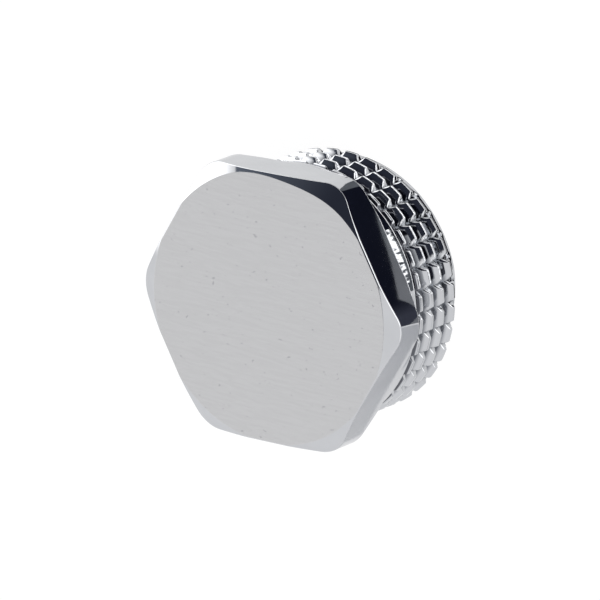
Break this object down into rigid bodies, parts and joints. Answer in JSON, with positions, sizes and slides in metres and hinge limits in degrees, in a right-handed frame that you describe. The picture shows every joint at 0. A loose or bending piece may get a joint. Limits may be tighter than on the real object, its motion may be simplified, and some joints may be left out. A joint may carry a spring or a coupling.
{
  "type": "pipe plug",
  "caption": "Chrome-plated brass pipe plug with a hexagon head, an external pipe thread and a blind hollow in the threaded end.",
  "frame": {"origin": "centre of the flat end face at the mouth of the hollow, on the plug's axis", "axes": "+Z along the axis from the threaded end to the hexagon's face, +X square out of a flat of the hexagon"},
  "size_m": [0.027, 0.0306, 0.0133],
  "materials": {
    "chrome_plate": "bright chrome plate on polished brass, satin on the turned face"
  },
  "bodies": {
    "root": {"plug": "chrome_plate"}
  },
  "joints": []
}
